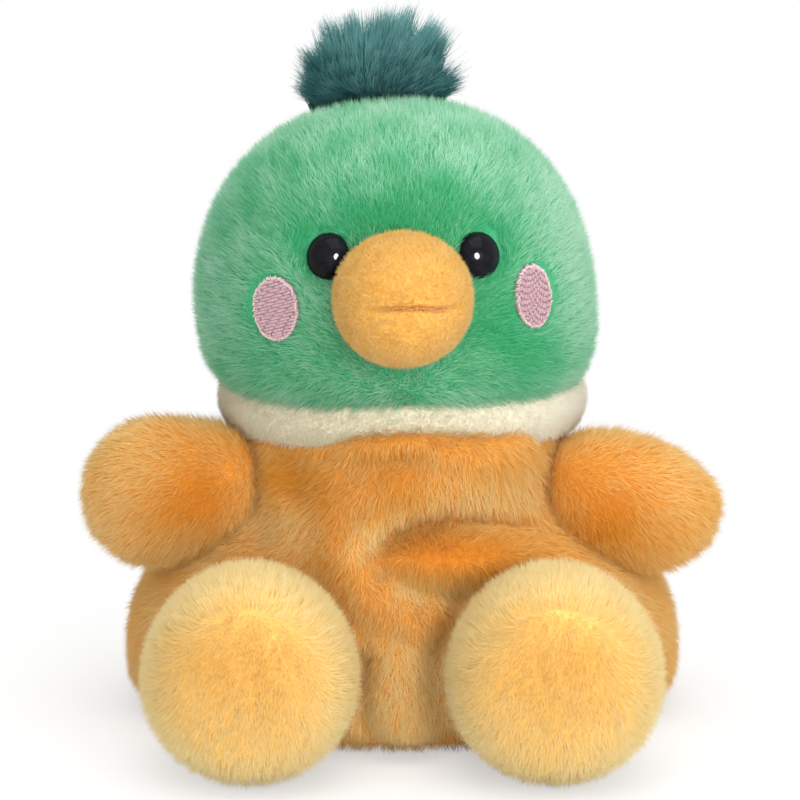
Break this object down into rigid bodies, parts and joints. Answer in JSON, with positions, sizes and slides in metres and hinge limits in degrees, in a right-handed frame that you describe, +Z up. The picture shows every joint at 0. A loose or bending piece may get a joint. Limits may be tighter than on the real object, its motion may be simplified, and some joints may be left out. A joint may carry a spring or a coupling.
{
  "type": "plush duck",
  "caption": "Palm-size sitting plush duck: soft bean-filled body, stuffed head, round beak, hair tuft, paddle wings, puffy feet and a short tail.",
  "frame": {"origin": "middle of the flat base, on the surface the duck sits on", "axes": "+Z up from the base through the head, -Y the way the duck looks, +X its left"},
  "size_m": [0.1172, 0.1114, 0.1255],
  "materials": {
    "pile_green": "plush pile, laid down and outward",
    "pile_teal": "long plush pile, brushed up",
    "pile_white": "short plush pile",
    "pile_orange": "plush pile, slack and creased",
    "pile_yellow": "plush pile",
    "pile_amber": "very short velvety pile",
    "eye_black": "glossy moulded dome",
    "washer_nylon": "moulded, unseen",
    "thread_pink": "satin-stitch embroidery",
    "thread_orange": "stitched thread",
    "fibre_white": "loose polyester fibre",
    "pouch_cloth": "thin woven pouch",
    "knit_backing": "knitted backing strip"
  },
  "bodies": {
    "root": {"body_base_panel": "pile_orange", "body_front_panel": "pile_orange", "body_back_panel": "pile_orange", "bean_pouch": "pouch_cloth", "body_filling": "fibre_white"},
    "neck": {"neck_wadding": "fibre_white"},
    "collar": {"collar_band": "pile_white"},
    "head": {"head_front_panel": "pile_green", "head_back_panel": "pile_green", "head_filling": "fibre_white", "tuft_backing": "knit_backing", "tuft_pile": "pile_teal", "left_eye": "eye_black", "right_eye": "eye_black", "left_eye_washer": "washer_nylon", "right_eye_washer": "washer_nylon", "beak_skin": "pile_amber", "beak_filling": "fibre_white", "mouth_stitch": "thread_orange", "left_cheek_embroidery": "thread_pink", "right_cheek_embroidery": "thread_pink"},
    "tail": {"tail_skin": "pile_orange", "tail_filling": "fibre_white"},
    "left_wing": {"left_wing_front_panel": "pile_orange", "left_wing_back_panel": "pile_orange", "left_wing_filling": "fibre_white"},
    "left_foot": {"left_foot_upper": "pile_yellow", "left_foot_sole": "pile_yellow", "left_foot_filling": "fibre_white"},
    "right_wing": {"right_wing_front_panel": "pile_orange", "right_wing_back_panel": "pile_orange", "right_wing_filling": "fibre_white"},
    "right_foot": {"right_foot_upper": "pile_yellow", "right_foot_sole": "pile_yellow", "right_foot_filling": "fibre_white"}
  },
  "joints": [
    {"name": "neck_turn", "type": "hinge", "parent": "root", "child": "neck", "pos_m": [0, 0, 0.0505], "axis": [0, 0, 1], "range_deg": [-20, 20], "stiffness_Nm_per_rad": 0.03},
    {"name": "head_tilt", "type": "hinge", "parent": "neck", "child": "collar", "pos_m": [0, 0, 0.0505], "axis": [0, 1, 0], "range_deg": [-7, 7], "stiffness_Nm_per_rad": 0.06, "deforming": ["neck_wadding"]},
    {"name": "head_nod", "type": "hinge", "parent": "collar", "child": "head", "pos_m": [0, 0, 0.0505], "axis": [1, 0, 0], "range_deg": [-8, 8], "stiffness_Nm_per_rad": 0.06, "deforming": ["collar_band"]},
    {"name": "left_wing_swing", "type": "hinge", "parent": "root", "child": "left_wing", "pos_m": [0.02935, -0.006, 0.0385], "axis": [0, 0, -1], "range_deg": [-15, 30], "stiffness_Nm_per_rad": 0.004},
    {"name": "right_wing_swing", "type": "hinge", "parent": "root", "child": "right_wing", "pos_m": [-0.02935, -0.006, 0.0385], "axis": [0, 0, 1], "range_deg": [-15, 30], "stiffness_Nm_per_rad": 0.004},
    {"name": "left_foot_flex", "type": "hinge", "parent": "root", "child": "left_foot", "pos_m": [0.0252, -0.037, 0.011], "axis": [-1, 0, 0], "range_deg": [-6, 15], "stiffness_Nm_per_rad": 0.02},
    {"name": "right_foot_flex", "type": "hinge", "parent": "root", "child": "right_foot", "pos_m": [-0.0252, -0.037, 0.011], "axis": [-1, 0, 0], "range_deg": [-6, 15], "stiffness_Nm_per_rad": 0.02},
    {"name": "tail_flick", "type": "hinge", "parent": "root", "child": "tail", "pos_m": [0, 0.035, 0.015], "axis": [1, 0, 0], "range_deg": [-15, 15], "stiffness_Nm_per_rad": 0.004}
  ]
}
